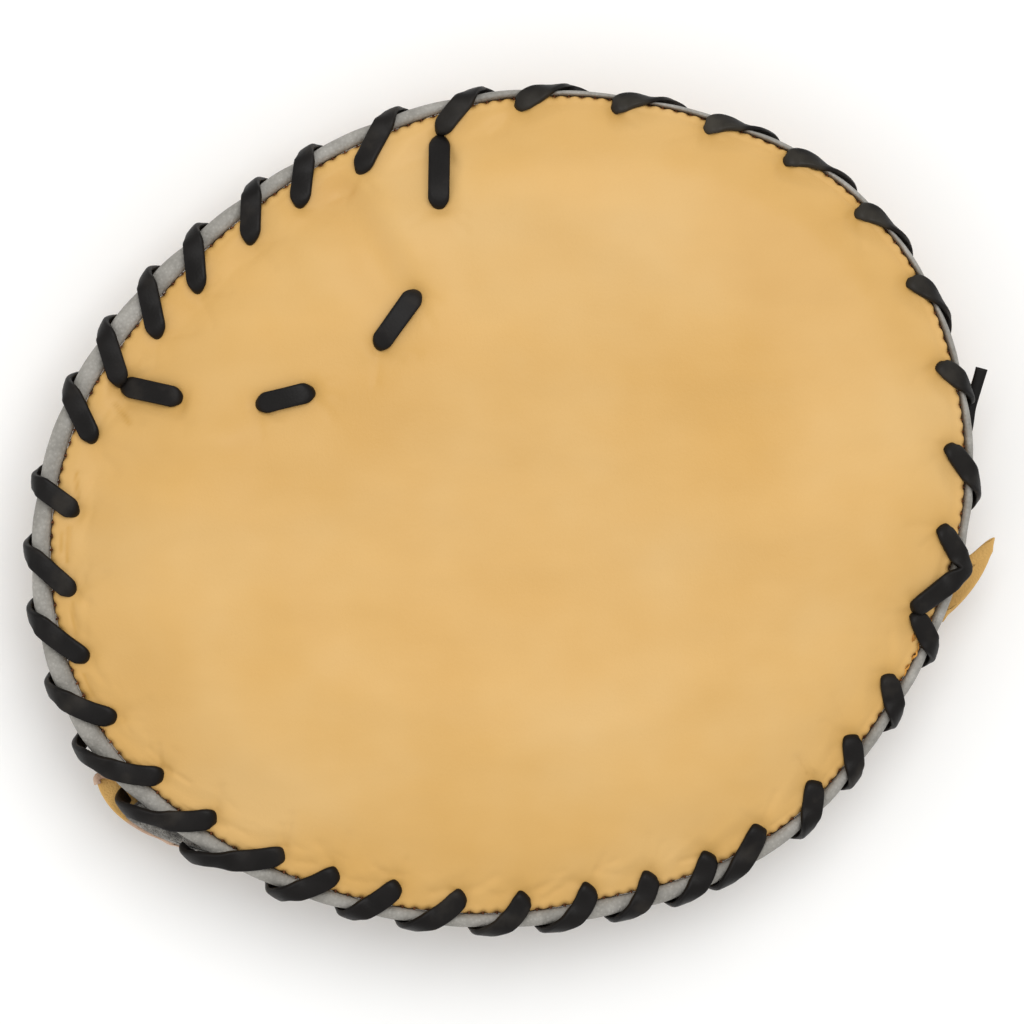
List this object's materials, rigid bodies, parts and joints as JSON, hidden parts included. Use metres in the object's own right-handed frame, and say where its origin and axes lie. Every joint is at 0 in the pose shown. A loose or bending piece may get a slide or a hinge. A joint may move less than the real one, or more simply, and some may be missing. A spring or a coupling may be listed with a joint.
{
  "type": "baseball training glove",
  "caption": "Flat round padded leather fielding trainer, laced round the rim, with a bowl-shaped back and a wrist strap.",
  "frame": {"origin": "middle of the bounding box, on the surface that the back of the glove lies on", "axes": "+Z out of the palm, +Y towards the fingertips, +X to the right as one looks down on the palm"},
  "size_m": [0.2474, 0.2184, 0.0456],
  "materials": {
    "tan_hide": "fine-grained tan leather with a soft sheen",
    "grey_hide": "matt grey leather with a short nap",
    "grey_felt": "short grey pile",
    "black_lace": "black rawhide lace with a soft sheen"
  },
  "bodies": {
    "root": {"palm_pad": "tan_hide", "rim_welt": "grey_hide", "back_shell": "tan_hide", "cuff_welt": "grey_hide", "wrist_strap": "tan_hide", "strap_lining": "grey_felt", "edge_lace": "black_lace", "web_lace": "black_lace"}
  },
  "joints": []
}
